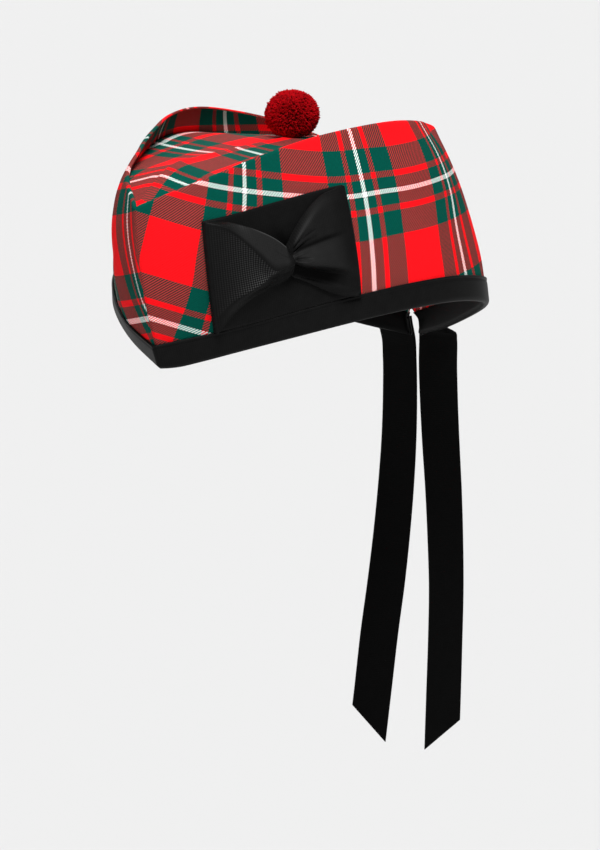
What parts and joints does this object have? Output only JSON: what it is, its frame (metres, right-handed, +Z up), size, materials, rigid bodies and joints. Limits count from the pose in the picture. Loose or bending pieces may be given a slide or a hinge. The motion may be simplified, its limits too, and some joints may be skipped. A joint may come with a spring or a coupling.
{
  "type": "glengarry cap",
  "caption": "Boat-shaped tartan wool cap with a sunken crown, black binding, side ribbon bow, red pompom and ribbon tails hanging at the back.",
  "frame": {"origin": "middle of the head opening, level with the lowest point of the front, where a head holds the cap", "axes": "+Z up, -Y to the front, +X to the wearer's left, which carries the bow"},
  "size_m": [0.1646, 0.2576, 0.3146],
  "materials": {
    "tartan_side": "matte twill tartan in red, green and white",
    "tartan_crown": "matte twill tartan in red, green and white",
    "band_ribbon": "matte black ribbed ribbon",
    "bow_ribbon": "black ribbed ribbon with a soft sheen",
    "tail_ribbon": "black ribbed ribbon with a soft sheen",
    "yarn": "dense cut wool yarn"
  },
  "bodies": {
    "root": {"side_left": "tartan_side", "side_right": "tartan_side", "crown": "tartan_crown", "band": "band_ribbon", "toorie": "yarn", "bow_backing": "bow_ribbon", "bow_wing_front": "bow_ribbon", "bow_wing_back": "bow_ribbon", "ribbon_left": "tail_ribbon", "ribbon_right": "tail_ribbon"}
  },
  "joints": []
}
